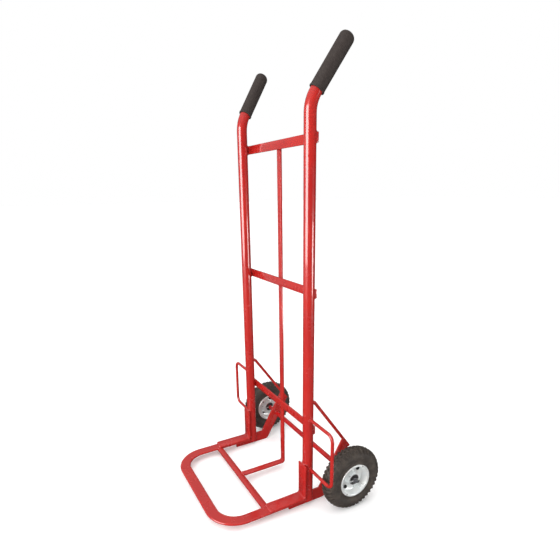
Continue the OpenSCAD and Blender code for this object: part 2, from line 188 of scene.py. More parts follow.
soft_lamp("soft_sun", "SUN", (0.15, -0.35, 1), (0, 0, 0), 2.7, math.radians(100), True, False)
soft_lamp("tall_panel", "AREA", (0.95, -2.75, 1.15), (0, 0, 0.65), 47, (1.35, 2.3), True, False)
for name, place, target, size, radiance in (
        ("wide_shine", (0.42, -2.95, 1.27), (0.42, 0, 1.27), (2.5, 2.0), 9.0),
        ("low_shine", (2.58, 1.87, 0.33), (0.2, 0.05, 0.33), (1.0, 0.66), 13.0),
        ("bar_shine", (-3.75, -1.95, 0.8), (0, 0, 0.8), (4.9, 3.2), 0.27),
        ("floor_sheet", (0.2, -0.2, 0.0006), (0.2, -0.2, -1.0), (3.6, 2.4), 1.5)):
    soft_lamp(name, "AREA", place, target, panel_power(radiance, size), size, False, True)

# %% [markdown]
# ## Finishes
# Every finish is a small network of nodes. A few helpers keep the networks readable:
# they make a material with its shader, add a node with its inputs set or linked, and
# build the noise, blends and bumps that every finish uses. Noise is read from Object
# coordinates, so one grain runs unbroken over every piece, as sprayed paint does.

# %% Helpers for materials
def new_finish(name, **sockets):
    """A material and its shader, with the numbers that are the same all over set on it."""
    material = bpy.data.materials.new(name)
    material.use_nodes = True
    nodes, links = material.node_tree.nodes, material.node_tree.links
    nodes.clear()
    out = nodes.new("ShaderNodeOutputMaterial")
    shader = nodes.new("ShaderNodeBsdfPrincipled")
    links.new(shader.outputs[0], out.inputs["Surface"])
    for socket, value in sockets.items():
        shader.inputs[socket.replace("_", " ")].default_value = value
    return material, shader


def add_node(material, kind, settings=None, **inputs):
    """A node of one kind; an input is a number, a colour or another node's output."""
    node = material.node_tree.nodes.new(kind)
    for key, value in (settings or {}).items():
        setattr(node, key, value)
    for socket, value in inputs.items():
        target = node.inputs[int(socket[1:]) if socket[0] == "i" and socket[1:].isdigit()
                             else socket.replace("_", " ")]
        if isinstance(value, bpy.types.NodeSocket):
            material.node_tree.links.new(value, target)
        else:
            target.default_value = value
    return node


def object_grain(material, scale, detail=3.0, roughness=0.55, stretch=(1, 1, 1)):
    """Noise on Object coordinates, in turns per metre, as a 0 to 1 factor."""
    place = add_node(material, "ShaderNodeTexCoord")
    turned = add_node(material, "ShaderNodeMapping", Vector=place.outputs["Object"],
                      Scale=stretch)
    return add_node(material, "ShaderNodeTexNoise", Vector=turned.outputs[0], Scale=scale,
                    Detail=detail, Roughness=roughness).outputs[0]


def spread(material, factor, low, high, out_low=0.0, out_high=1.0):
    """Stretches the middle of a factor over a new range."""
    return add_node(material, "ShaderNodeMapRange", i0=factor, i1=low, i2=high, i3=out_low,
                    i4=out_high).outputs[0]


def blend_colours(material, factor, first, second):
    """A colour between two, by a factor."""
    node = add_node(material, "ShaderNodeMix", {"data_type": "RGBA"})
    links = material.node_tree.links
    for index, value in ((0, factor), (6, first), (7, second)):
        if isinstance(value, bpy.types.NodeSocket):
            links.new(value, node.inputs[index])
        else:
            node.inputs[index].default_value = (*value, 1) if index else value
    return node.outputs[2]


def bumps(material, shader, height, strength, distance):
    """Gives a shader a bump from one height factor."""
    bump = add_node(material, "ShaderNodeBump", Strength=strength, Distance=distance,
                    Height=height)
    material.node_tree.links.new(bump.outputs[0], shader.inputs["Normal"])


def drive(material, shader, socket, value):
    """Links a node's output to one of the shader's sockets."""
    material.node_tree.links.new(value, shader.inputs[socket])


print("helpers ready")

# %% [markdown]
# The frame is sprayed with gloss red enamel. Such paint is never one red: it is a
# little deeper where it is thick, it has a faint orange-peel surface, and handling
# dulls its gloss in patches. A clear coat layer gives the white line on the tubes over
# a softer body colour. Faint flecks and scuffs lie all over it.

# %% Gloss red enamel
red_enamel, shader = new_finish("red_enamel", Metallic=0.0, IOR=1.5, Coat_Weight=0.9,
                                Coat_Roughness=0.07, Specular_IOR_Level=0.5)
cloud = spread(red_enamel, object_grain(red_enamel, 9, 2), 0.35, 0.65)
fleck = spread(red_enamel, object_grain(red_enamel, 260, 4), 0.62, 0.74)
scuff = spread(red_enamel, object_grain(red_enamel, 60, 5, 0.7, (1, 0.12, 1)), 0.66, 0.78)
ENAMEL_RED = (0.45, 0.015, 0.010)
body_red = blend_colours(red_enamel, cloud, ENAMEL_RED, (0.39, 0.009, 0.008))
fleck_red = blend_colours(red_enamel, fleck, ENAMEL_RED, (0.33, 0.007, 0.006))
mixed_red = blend_colours(red_enamel, 0.2, body_red, fleck_red)
drive(red_enamel, shader, "Base Color", blend_colours(
    red_enamel, spread(red_enamel, scuff, 0, 1, 0, 0.1), mixed_red, (0.52, 0.045, 0.035)))
drive(red_enamel, shader, "Roughness", spread(
    red_enamel, object_grain(red_enamel, 24, 4), 0.3, 0.7, 0.20, 0.30))
bumps(red_enamel, shader, object_grain(red_enamel, 70, 1), 0.012, 0.0004)
print("made", red_enamel.name)

# %% [markdown]
# The tyres are carbon-black rubber that has gone slightly brown. Dust lies on it in
# soft patches, and the surface is full of tiny pits. The grips are a softer, matt foam
# rubber with a rounder grain. The seals, valves, inner tubes and washers are smooth.

# %% Rubbers
tyre_rubber, shader = new_finish("tyre_rubber", IOR=1.5, Specular_IOR_Level=0.35)
dust = spread(tyre_rubber, object_grain(tyre_rubber, 45, 5, 0.65), 0.45, 0.7)
drive(tyre_rubber, shader, "Base Color", blend_colours(
    tyre_rubber, dust, (0.044, 0.034, 0.028), (0.078, 0.061, 0.048)))
drive(tyre_rubber, shader, "Roughness", spread(
    tyre_rubber, object_grain(tyre_rubber, 70, 3), 0.3, 0.7, 0.52, 0.74))
bumps(tyre_rubber, shader, object_grain(tyre_rubber, 900, 3), 0.35, 0.0005)

grip_rubber, shader = new_finish("grip_rubber", IOR=1.48, Specular_IOR_Level=0.3)
mottle = spread(grip_rubber, object_grain(grip_rubber, 120, 4), 0.35, 0.65)
drive(grip_rubber, shader, "Base Color", blend_colours(
    grip_rubber, mottle, (0.033, 0.024, 0.021), (0.041, 0.031, 0.027)))
drive(grip_rubber, shader, "Roughness", spread(
    grip_rubber, object_grain(grip_rubber, 60, 2), 0.3, 0.7, 0.62, 0.8))
pores_place = add_node(grip_rubber, "ShaderNodeTexCoord")
pores = add_node(grip_rubber, "ShaderNodeTexVoronoi", Vector=pores_place.outputs["Object"],
                 Scale=750.0)
bumps(grip_rubber, shader, pores.outputs["Distance"], 0.16, 0.0004)


def plain_rubber(name, dark, light, low, high):
    """A smooth moulded rubber or nylon for seals, valves, inner tubes and washers."""
    material, shader = new_finish(name, IOR=1.5, Specular_IOR_Level=0.4)
    drive(material, shader, "Base Color", blend_colours(
        material, spread(material, object_grain(material, 150, 3), 0.35, 0.65), dark, light))
    drive(material, shader, "Roughness", spread(
        material, object_grain(material, 200, 2), 0.3, 0.7, low, high))
    bumps(material, shader, object_grain(material, 1200, 2), 0.2, 0.0003)
    return material


seal_rubber = plain_rubber("seal_rubber", (0.012, 0.010, 0.010), (0.025, 0.021, 0.020),
                           0.38, 0.52)
tube_rubber = plain_rubber("tube_rubber", (0.012, 0.012, 0.012), (0.022, 0.021, 0.021),
                           0.45, 0.6)
valve_rubber = plain_rubber("valve_rubber", (0.022, 0.020, 0.018), (0.040, 0.036, 0.033),
                            0.5, 0.66)
washer_nylon = plain_rubber("washer_nylon", (0.018, 0.017, 0.017), (0.032, 0.030, 0.030),
                            0.32, 0.44)
print("rubbers:", [m.name for m in (tyre_rubber, grip_rubber, seal_rubber, tube_rubber,
                                    valve_rubber, washer_nylon)])

# %% [markdown]
# Pressed steel rims are zinc plated. Zinc is a bright, slightly blue metal with a soft
# cloudy gloss and a trace of yellow where the passivation is thick. Nuts and split pins
# carry a duller plate and the bearing rings are ground steel. The rim bolts are given a
# near-black colour, which is painted shade standing in for the shade round their heads.
# The bright ones are set to be only partly metal. Real plate is all metal, but it would
# mirror the dark surroundings here and look grey.

# %% Zinc plate and bearing steel
def plated_metal(name, cool, warm, low, high, grain, bare_share=1.0):
    """A plated metal: a cloud between two tints, uneven gloss and a fine grain."""
    material, shader = new_finish(name, Metallic=bare_share)
    clouds = spread(material, object_grain(material, 40, 2, 0.5), 0.38, 0.66)
    drive(material, shader, "Base Color", blend_colours(material, clouds, cool, warm))
    drive(material, shader, "Roughness", spread(
        material, object_grain(material, 60, 2), 0.3, 0.7, low, high))
    bumps(material, shader, object_grain(material, grain, 2), 0.012, 0.0002)
    return material


zinc_rim = plated_metal("zinc_rim", (0.90, 0.93, 0.93), (0.92, 0.91, 0.89),
                        0.26, 0.36, 400, 0.5)
zinc_hardware = plated_metal("zinc_hardware", (0.72, 0.74, 0.75), (0.74, 0.72, 0.68),
                             0.28, 0.46, 800, 0.65)
bearing_steel = plated_metal("bearing_steel", (0.80, 0.81, 0.82), (0.74, 0.74, 0.74),
                             0.2, 0.32, 1400, 0.65)
# Near black: painted shade for the shade round the rim bolts' heads, not a plating colour.
black_bolt = plated_metal("black_bolt", (0.050, 0.050, 0.053), (0.075, 0.072, 0.070),
                          0.34, 0.5, 800)
print("metals ready")

# %% [markdown]
# The axle is sprayed together with the frame, with its ends masked, because a bearing's
# ring won't slide over paint. One material does both: a mask made from the distance out
# along the axle turns the paint into bare steel, and a little noise roughens its edge.
# That steel is made much darker than bare steel is. This is painted shade for the dark
# bore of the hub round the axle end.

# %% Axle: paint between the wheels, bare steel under them
BARE_FROM = 0.253
MASK_EDGE = 0.0008
MASK_RAGGED = 0.002

axle_finish, shader = new_finish("axle_finish", IOR=1.5)
axle_place = add_node(axle_finish, "ShaderNodeTexCoord")
axle_parts = add_node(axle_finish, "ShaderNodeSeparateXYZ", Vector=axle_place.outputs["Object"])
from_middle = add_node(axle_finish, "ShaderNodeMath", {"operation": "ABSOLUTE"},
                       i0=axle_parts.outputs["X"]).outputs[0]
ragged = add_node(axle_finish, "ShaderNodeMath", {"operation": "MULTIPLY_ADD"},
                  i0=object_grain(axle_finish, 220, 2), i1=MASK_RAGGED,
                  i2=from_middle).outputs[0]
bare_end_painted_shade = spread(axle_finish, ragged, BARE_FROM, BARE_FROM + MASK_EDGE)
# The bare steel colour (0.22) is darker than real bare steel: painted shade for the hub's dark
# bore round the axle end.
drive(axle_finish, shader, "Base Color", blend_colours(
    axle_finish, bare_end_painted_shade, (0.42, 0.009, 0.009), (0.22, 0.22, 0.23)))
drive(axle_finish, shader, "Metallic", spread(axle_finish, bare_end_painted_shade, 0, 1, 0, 0.65))
drive(axle_finish, shader, "Roughness", spread(
    axle_finish, object_grain(axle_finish, 300, 3, 0.6, (0.2, 1, 1)), 0.3, 0.7, 0.18, 0.34))
bumps(axle_finish, shader, object_grain(axle_finish, 900, 2, 0.5, (0.2, 1, 1)), 0.1, 0.0003)

# %% [markdown]
# The floor is a pale matt grey-white. It gives off a little light of its own, which
# keeps the soft shadows on it faint.

# %% Floor finish
floor_finish, shader = new_finish("pale_floor", Specular_IOR_Level=0.2,
                                   Emission_Color=(1, 1, 1, 1), Emission_Strength=0.12)
drive(floor_finish, shader, "Base Color", blend_colours(
    floor_finish, object_grain(floor_finish, 3, 2), (0.97, 0.97, 0.97), (0.955, 0.955, 0.955)))
drive(floor_finish, shader, "Roughness", spread(
    floor_finish, object_grain(floor_finish, 8, 2), 0.3, 0.7, 0.7, 0.85))
floor.data.materials.append(floor_finish)
print("made", axle_finish.name, "and", floor_finish.name)

# %% [markdown]
# ## Painting the solids
# Most solids already have the right shape: the tubes, the rods, the toe loop, the axle
# and the bearing parts. Each one names a finish in the record, so one loop gives them
# all their materials. Nothing about their meshes changes.

# %% Give every solid its finish
finish_of_slot = {
    "frame_paint": red_enamel, "grip_rubber": grip_rubber, "tyre_rubber": tyre_rubber,
    "tube_rubber": tube_rubber, "zinc_rim": zinc_rim, "zinc_hardware": zinc_hardware,
    "bearing_steel": bearing_steel, "seal_rubber": seal_rubber, "valve_rubber": valve_rubber,
    "washer_nylon": washer_nylon, "black_bolt": black_bolt,
}
slot_of_node = {p["node"]: p["material_slot"] for p in frame["record"]["subparts"]}
for name, solid in frame["nodes"].items():
    finish = axle_finish if name == "axle" else finish_of_slot[slot_of_node[name]]
    for index in range(len(solid.data.materials)):
        solid.data.materials[index] = finish
    if not solid.data.materials:
        solid.data.materials.append(finish)
print("painted", len(frame["nodes"]), "solids")

# %% [markdown]
# ## Flat bars with real edges
# A rolled flat bar never has a perfectly sharp edge, and the thin bright line along
# its edge is how the eye reads its thickness. The solids' bars are sharp. A copy of
# each one is cleaned of its loose triangles and its long edges are rounded by less
# than a millimetre, which leaves the outline where it was.

# %% Round the edges of the flat bars
BAR_EDGE_RADIUS = 0.0009
SHARP_FROM = math.radians(35)
SAME_PLANE = math.radians(0.5)


def body_of(name):
    """The body that a solid belongs to."""
    for body, nodes in frame["record"]["behaviour"]["bodies"].items():
        if name in nodes:
            return body
    raise KeyError(name)


def finish_piece(piece, material, replaced):
    """Shades a new piece, hands it to its body and hides the solid it stands for."""
    if not piece.data.materials:
        piece.data.materials.append(material)
    piece.data.polygons.foreach_set("use_smooth", [True] * len(piece.data.polygons))
    piece.data.set_sharp_from_angle(angle=SHARP_FROM)
    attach(piece, body_of(replaced))
    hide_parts(replaced)
    return piece


def piece_from(shape, name):
    """A new object at the origin from a bmesh, which is freed."""
    mesh = bpy.data.meshes.new(name)
    shape.to_mesh(mesh)
    shape.free()
    piece = bpy.data.objects.new(name, mesh)
    bpy.context.collection.objects.link(piece)
    return piece


def eased_bar(name):
    """A copy of a bar's solid with its long edges rounded."""
    shape = bmesh.new()
    shape.from_mesh(frame["nodes"][name].data)
    bmesh.ops.remove_doubles(shape, verts=shape.verts, dist=1e-5)
    bmesh.ops.dissolve_limit(shape, angle_limit=SAME_PLANE, verts=shape.verts,
                             edges=shape.edges)
    edges = [e for e in shape.edges if len(e.link_faces) == 2
             and e.calc_face_angle(0) > SHARP_FROM]
    bmesh.ops.bevel(shape, geom=edges, offset=BAR_EDGE_RADIUS, segments=2, profile=0.5,
                    affect="EDGES", clamp_overlap=True)
    return finish_piece(piece_from(shape, name + "_eased"), red_enamel, name)


flat_bars = ["crossbar_top", "crossbar_middle", "crossbar_lower", "centre_bar", "toe_crossbar",
             "toe_strap_left", "toe_strap_right", "wheel_bracket_left", "wheel_bracket_right"]
for name in flat_bars:
    eased_bar(name)
print("eased", len(flat_bars), "bars")

# %% [markdown]
# ## Grips
# A grip is a closed rubber sleeve pushed over the tube's end. It is drawn as an
# outline, distance along the handle against radius, and turned about the handle's
# axis. The outline has the thin wall, the rolled lip at the mouth and the round
# closed end. Two mould lines run along its sides, where the halves of the mould met.

# %% Turn the grips about the handles
HANDLE_LEAN = math.radians(33)
HANDLE_SPLAY = math.radians(15)
HANDLE_CORNER = 1.145
TUBE_RADIUS = 0.016
GRIP_START = 0.028
GRIP_END = 0.174
GRIP_RADIUS = 0.01925
GRIP_STEPS = 96
GRIP_MOUTH_RADIUS = 0.0190
GRIP_LIP_RADIUS = 0.0202
LIP_ROUND = 0.0012
END_ROUND = 0.0125
RING_GAP = 0.012
CAP_WALL = 0.005
MOULD_LINE_HEIGHT = 0.00022
MOULD_LINE_WIDTH = 0.05
UPRIGHT_X = 0.2
upright_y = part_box("crossbar_top")[0][1] - TUBE_RADIUS


def arc(centre, radius, start, end, count):
    """Points on an arc in an outline, from one angle to another in degrees."""
    steps = [math.radians(start + (end - start) * i / count) for i in range(count + 1)]
    return [(centre[0] + radius * math.cos(a), centre[1] + radius * math.sin(a))
            for a in steps]


def turned_piece(name, outline, steps, to_space, shape_radius=None):
    """Turns a closed outline of (along, radius) points; to_space places each point."""
    shape = bmesh.new()
    rings = []
    for i in range(steps):
        angle = 2 * math.pi * i / steps
        ring = []
        for along, radius in outline:
            r = radius if shape_radius is None else shape_radius(along, radius, angle)
            ring.append(shape.verts.new(to_space(along, r, angle)))
        rings.append(ring)
    count = len(outline)
    for i in range(steps):
        here, there = rings[i], rings[(i + 1) % steps]
        for j in range(count):
            k = (j + 1) % count
            shape.faces.new((here[j], here[k], there[k], there[j]))
    bmesh.ops.remove_doubles(shape, verts=shape.verts, dist=1e-7)
    bmesh.ops.recalc_face_normals(shape, faces=shape.faces)
    return piece_from(shape, name)


def handle_space(side):
    """Places a point given by its distance along a handle, radius and angle."""
    corner = Vector((side * UPRIGHT_X, upright_y, HANDLE_CORNER))
    turn = (Matrix.Rotation(-side * HANDLE_SPLAY, 3, "Z")
            @ Matrix.Rotation(-HANDLE_LEAN, 3, "X"))
    return lambda along, radius, angle: corner + turn @ Vector(
        (radius * math.cos(angle), radius * math.sin(angle), along))


grip_outline = (
    [(GRIP_START, TUBE_RADIUS), (GRIP_START, GRIP_MOUTH_RADIUS)]
    + arc((GRIP_START + LIP_ROUND, GRIP_MOUTH_RADIUS), LIP_ROUND, 180, 90, 4)
    + [(GRIP_START + 0.0034, GRIP_LIP_RADIUS), (GRIP_START + 0.0046, GRIP_RADIUS)]
    + [(GRIP_START + RING_GAP + RING_GAP * i, GRIP_RADIUS) for i in range(10)]
    + arc((GRIP_END - END_ROUND, GRIP_RADIUS - END_ROUND), END_ROUND, 90, 0, 10)
    + [(GRIP_END, 0.003), (GRIP_END - 0.0006, 0.0), (GRIP_END - CAP_WALL, 0.0),
       (GRIP_END - CAP_WALL, TUBE_RADIUS)])


def mould_lines(along, radius, angle):
    """Raises two fine lines along the sleeve, on its outside only."""
    if radius < GRIP_RADIUS - 0.0005 or along < GRIP_START + 0.004:
        return radius
    near = abs(math.sin(angle - math.radians(90)))
    return radius + MOULD_LINE_HEIGHT * max(0.0, 1 - near / MOULD_LINE_WIDTH)


for side, word in ((1, "left"), (-1, "right")):
    grip = turned_piece("grip_sleeve_" + word, grip_outline, GRIP_STEPS, handle_space(side),
                        mould_lines)
    finish_piece(grip, grip_rubber, "grip_" + word)
    print(grip.name, len(grip.data.polygons), "faces")

# %% [markdown]
# ## Wheels
# Each wheel turns on its own pair of bearings, so everything in it rides on that
# wheel's body. Its parts are turned about the axle, so one helper places a point
# given by its distance out from the wheel's middle plane, its radius and its angle.

# %% Where the wheels are
def wheel_centre(word):
    """The middle of a wheel, from its tyre's box."""
    low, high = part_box("tyre_" + word)
    return (Vector(low) + Vector(high)) / 2


def wheel_space(word):
    """Places a point of a wheel: distance out from its middle plane, radius, angle."""
    centre = wheel_centre(word)
    side = 1 if word == "left" else -1
    return lambda out, radius, angle: centre + Vector(
        (side * out, radius * math.cos(angle), radius * math.sin(angle)))


for word in ("left", "right"):
    print(word, "wheel at", [round(v, 4) for v in wheel_centre(word)])

# %% [markdown]
# ### Tyres
# The carcass is a round section that stands on its two beads inside the rim. The
# sidewall has a raised ring next to the rim, a few fine moulded rings further out and
# a rounded shoulder under the tread. It is turned from one outline.

# %% Turn the tyre carcasses
TYRE_HALF_WIDTH = 0.025
TYRE_MIDDLE = 0.075
TREAD_BASE = 0.0958
TYRE_STEPS = 160
SIDE_STEPS = 24
SIDE_SINK = 0.0008
SIDE_SQUASH = 0.0212 / 0.025
RIM_RING = 0.0006
FINE_RING = 0.00035

side_rings = []
for i in range(SIDE_STEPS + 1):
    a = math.radians(-44 + 100 * i / SIDE_STEPS)
    ripple = RIM_RING if i in (3, 4) else FINE_RING if i in (13, 16, 19) else 0.0
    r = TYRE_HALF_WIDTH - SIDE_SINK + ripple
    side_rings.append((r * math.cos(a), TYRE_MIDDLE + SIDE_SQUASH * r * math.sin(a)))
half_outline = ([(0.0205, 0.0482), (0.0222, 0.0486), (0.0226, 0.0508), (0.0226, 0.0535),
                 (0.0212, 0.0560)]
                + side_rings[3:]
                + [(0.0118, 0.0949), (0.0085, 0.0956), (0.004, TREAD_BASE), (0.0, TREAD_BASE)])
inner_half = [(0.0205, 0.0482), (0.0182, 0.0500), (0.0182, 0.066)] + [
    (0.0199 * math.cos(math.radians(a)), TYRE_MIDDLE + 0.0178 * math.sin(math.radians(a)))
    for a in range(-20, 91, 10)]
inner_half[-1] = (0.0, inner_half[-1][1])
outer_loop = half_outline + [(-o, r) for o, r in reversed(half_outline[:-1])]
inner_loop = inner_half[1:] + [(-o, r) for o, r in reversed(inner_half[1:-1])]
tyre_outline = outer_loop + list(reversed(inner_loop))
tyres = {}
for word in ("left", "right"):
    tyres[word] = turned_piece("tyre_carcass_" + word, tyre_outline, TYRE_STEPS,
                               wheel_space(word))
    print(tyres[word].name, len(tyres[word].data.polygons), "faces")

# %% [markdown]
# ### A tree that repeats a shape about the axle
# Tread blocks, bolts and nuts all repeat about the axle. Geometry Nodes do this once
# for all of them: points lie on the wheel's centre, each point turns its copy of the
# shape a step further about X, and the copies are made real so that they export.

# %% Geometry Nodes: repeat about the axle
def socket_id(tree, name):
    """The identifier of a tree's input, which a modifier is set by."""
    for item in tree.interface.items_tree:
        if item.name == name and item.in_out == "INPUT":
            return item.identifier
    raise KeyError(name)


def add_input(tree, name, kind, value=None):
    """Adds a named input to a tree."""
    item = tree.interface.new_socket(name, in_out="INPUT", socket_type=kind)
    if value is not None:
        item.default_value = value
    return item


def new_tree(name):
    """An empty Geometry Nodes tree with one output for its geometry."""
    tree = bpy.data.node_groups.new(name, "GeometryNodeTree")
    tree.interface.new_socket("Geometry", in_out="OUTPUT", socket_type="NodeSocketGeometry")
    return tree


def repeat_about_axle():
    """Builds the tree. The shape is drawn about the origin, at its own radius."""
    tree = new_tree("repeat_about_axle")
    add_input(tree, "Shape", "NodeSocketGeometry")
    add_input(tree, "Count", "NodeSocketInt", 4)
    add_input(tree, "First turn", "NodeSocketFloat", 0.0)
    add_input(tree, "Centre", "NodeSocketVector")
    add_input(tree, "Finish", "NodeSocketMaterial")
    new, link = tree.nodes.new, tree.links.new
    given, result = new("NodeGroupInput"), new("NodeGroupOutput")
    points = new("GeometryNodePoints")
    link(given.outputs["Count"], points.inputs["Count"])
    index = new("GeometryNodeInputIndex")
    step = new("ShaderNodeMath")
    step.operation = "DIVIDE"
    step.inputs[0].default_value = 2 * math.pi
    link(given.outputs["Count"], step.inputs[1])
    turn = new("ShaderNodeMath")
    turn.operation = "MULTIPLY_ADD"
    link(index.outputs[0], turn.inputs[0])
    link(step.outputs[0], turn.inputs[1])
    link(given.outputs["First turn"], turn.inputs[2])
    euler = new("ShaderNodeCombineXYZ")
    link(turn.outputs[0], euler.inputs["X"])
    copies = new("GeometryNodeInstanceOnPoints")
    link(points.outputs[0], copies.inputs["Points"])
    link(given.outputs["Shape"], copies.inputs["Instance"])
    link(euler.outputs[0], copies.inputs["Rotation"])
    move = new("GeometryNodeTransform")
    link(copies.outputs[0], move.inputs["Geometry"])
    link(given.outputs["Centre"], move.inputs["Translation"])
    real = new("GeometryNodeRealizeInstances")
    link(move.outputs[0], real.inputs[0])
    paint = new("GeometryNodeSetMaterial")
    link(real.outputs[0], paint.inputs["Geometry"])
    link(given.outputs["Finish"], paint.inputs["Material"])
    link(paint.outputs[0], result.inputs[0])
    return tree


axle_tree = repeat_about_axle()


def grow(seed_piece, tree, **values):
    """Runs a tree on a piece and returns the plain mesh object that it makes."""
    modifier = seed_piece.modifiers.new("tree", "NODES")
    modifier.node_group = tree
    for name, value in values.items():
        modifier[socket_id(tree, name.replace("_", " "))] = value
    graph = bpy.context.evaluated_depsgraph_get()
    mesh = bpy.data.meshes.new_from_object(seed_piece.evaluated_get(graph))
    name = seed_piece.name
    bpy.data.objects.remove(seed_piece)
    mesh.name = name
    piece = bpy.data.objects.new(name + "_made", mesh)
    bpy.context.collection.objects.link(piece)
    return piece


print("tree inputs:", [i.name for i in axle_tree.interface.items_tree if i.in_out == "INPUT"])

# %% [markdown]
# ### Tread
# The tread is rows of moulded blocks: arrow-shaped blocks down the middle and broad
# lugs that wrap over both shoulders. A block is a footprint on the tread, narrower at
# its top than at its foot, and it follows the tyre's crown. One block of each kind is
# drawn, and the tree repeats it round the tyre.

# %% Tread blocks
TREAD_COUNT = 42
BLOCK_SINK = 0.0012
CROWN_DROP = 0.0098
CROWN_HALF_WIDTH = 0.0215
CROWN_POWER = 2.6
ARROW_LIFT, ARROW_TAPER = 0.0042, 0.84
LUG_LIFT, LUG_TAPER = 0.0040, 0.80
BLOCK_EDGE = 0.00035
TREAD_TURN = 0.03


def crown(out, lift):
    """Radius of the tread at a distance out from the middle plane, plus a lift."""
    return TREAD_BASE + lift - CROWN_DROP * (abs(out) / CROWN_HALF_WIDTH) ** CROWN_POWER


def tread_block(shape, corners, lift, taper):
    """Adds a block. corners are (out, around) in metres, going round the footprint."""
    middle = Vector((sum(c[0] for c in corners), sum(c[1] for c in corners))) / len(corners)
    low, high = [], []
    for out, around in corners:
        top = middle + (Vector((out, around)) - middle) * taper
        for place, ring, level in (((out, around), low, -BLOCK_SINK), (top, high, lift)):
            radius = crown(place[0], level)
            angle = place[1] / TREAD_BASE
            ring.append(shape.verts.new((place[0], radius * math.sin(angle),
                                         radius * math.cos(angle))))
    count = len(corners)
    shape.faces.new(high)
    shape.faces.new(list(reversed(low)))
    for i in range(count):
        j = (i + 1) % count
        shape.faces.new((low[i], low[j], high[j], high[i]))


def tread_shape():
    """One pitch of the tread: two middle arrows and the two shoulder lugs."""
    shape = bmesh.new()
    for side in (1, -1):
        arrow = [(0.0006, -0.0052), (0.0092, -0.0016), (0.0092, 0.0050), (0.0006, 0.0014)]
        lug = [(0.0112, -0.0036), (0.0168, -0.0028), (0.0224, -0.0028), (0.0224, 0.0036),
               (0.0168, 0.0044), (0.0112, 0.0034)]
        shift = 0.0 if side == 1 else math.pi * TREAD_BASE / TREAD_COUNT
        for block, lift, taper in ((arrow, ARROW_LIFT, ARROW_TAPER), (lug, LUG_LIFT, LUG_TAPER)):
            tread_block(shape, [(side * o, a + shift) for o, a in block], lift, taper)
    bmesh.ops.recalc_face_normals(shape, faces=shape.faces)
    bmesh.ops.bevel(shape, geom=list(shape.edges), offset=BLOCK_EDGE, segments=1,
                    affect="EDGES", clamp_overlap=True)
    return shape


def joined(name, *pieces):
    """Joins the meshes of several pieces at the origin into one."""
    shape = bmesh.new()
    for piece in pieces:
        shape.from_mesh(piece.data)
        bpy.data.objects.remove(piece)
    return piece_from(shape, name)


for word in ("left", "right"):
    block = piece_from(tread_shape(), "tread_blocks_" + word)
    tread = grow(block, axle_tree, Count=TREAD_COUNT, First_turn=TREAD_TURN,
                 Centre=wheel_centre(word), Finish=tyre_rubber)
    tyre = joined("tyre_moulded_" + word, tyres[word], tread)
    finish_piece(tyre, tyre_rubber, "tyre_" + word)
    print(tyre.name, len(tyre.data.polygons), "faces")

# %% [markdown]
# ### Rims
# A rim is two pressed steel halves bolted back to back. A pressing has one thickness
# everywhere and no sharp corners, so its outline is a path with rounded bends that is
# given a thickness. The wide bend between the disc and the barrel is what catches the
# light as a bright crescent.

# %% Press the rim halves
SHEET = 0.002
SHEET_SHARE = 0.95
RIM_STEPS = 128
RIM_BENDS = (0.0034, 0.0056, 0.0018, 0.0008)


def rounded_path(points, radii, count=6):
    """Replaces each inner corner of a path with an arc of its own radius."""
    path = [Vector(points[0])]
    for i in range(1, len(points) - 1):
        before, here, after = (Vector(points[k]) for k in (i - 1, i, i + 1))
        a, b = (before - here).normalized(), (after - here).normalized()
        half_angle = a.angle(b) / 2
        reach = radii[i - 1] / math.tan(half_angle)
        centre = here + (a + b).normalized() * radii[i - 1] / math.sin(half_angle)
        start, end = here + a * reach - centre, here + b * reach - centre
        for k in range(count + 1):
            t = k / count
            path.append(centre + (start * (1 - t) + end * t).normalized() * radii[i - 1])
    path.append(Vector(points[-1]))
    return path


def sheet_outline(path, thick):
    """The closed outline of a sheet that follows a path."""
    left, right = [], []
    for i, point in enumerate(path):
        along = (path[min(i + 1, len(path) - 1)] - path[max(i - 1, 0)]).normalized()
        side = Vector((-along.y, along.x)) * thick / 2
        left.append(tuple(point + side))
        right.append(tuple(point - side))
    return left + list(reversed(right))


rim_corners = [(0.0088, 0.0210), (0.0010, 0.0210), (0.0010, 0.0440), (0.0238, 0.0466),
               (0.0242, 0.0512), (0.0226, 0.0516)]
rim_path = rounded_path(rim_corners, RIM_BENDS)
rim_outline = sheet_outline(rim_path, SHEET * SHEET_SHARE)
for word in ("left", "right"):
    place = wheel_space(word)
    for half, direction in (("outer", 1), ("inner", -1)):
        rim = turned_piece("rim_pressing_" + half + "_" + word, rim_outline, RIM_STEPS,
                           lambda out, r, a, d=direction: place(d * out, r, a))
        finish_piece(rim, zinc_rim, "rim_" + half + "_" + word)
print("rim outline points:", len(rim_outline))

# %% [markdown]
# ### Hubs and bolts
# The hub is a short turned tube with a bearing pressed into each end and a small
# chamfer on its ends. Four hexagon bolts, with a nut on the inner side, hold the
# pressings together: one bolt is drawn with its chamfered head, and the tree repeats
# it.

# %% Turn the hubs
HUB_RADIUS = 0.020
hub_low, hub_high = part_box("hub_left")
HUB_HALF = (hub_high[0] - hub_low[0]) / 2
BEARING_WIDTH = 0.011
WEB_HALF = HUB_HALF - BEARING_WIDTH
SEAT_RADIUS = 0.0175
BORE_RADIUS = 0.015
SEAT_CHAMFER = 0.0005
HUB_STEPS = 96
hub_half = [(0.0, HUB_RADIUS), (HUB_HALF - 0.0008, HUB_RADIUS), (HUB_HALF, HUB_RADIUS - 0.0007),
            (HUB_HALF, SEAT_RADIUS + SEAT_CHAMFER), (HUB_HALF - SEAT_CHAMFER, SEAT_RADIUS),
            (WEB_HALF, SEAT_RADIUS), (WEB_HALF, BORE_RADIUS), (0.0, BORE_RADIUS)]
hub_outline = hub_half + [(-o, r) for o, r in reversed(hub_half) if o > 0]
for word in ("left", "right"):
    hub = turned_piece("hub_turned_" + word, hub_outline, HUB_STEPS, wheel_space(word))
    finish_piece(hub, zinc_rim, "hub_" + word)
print("hub outline points:", len(hub_outline))

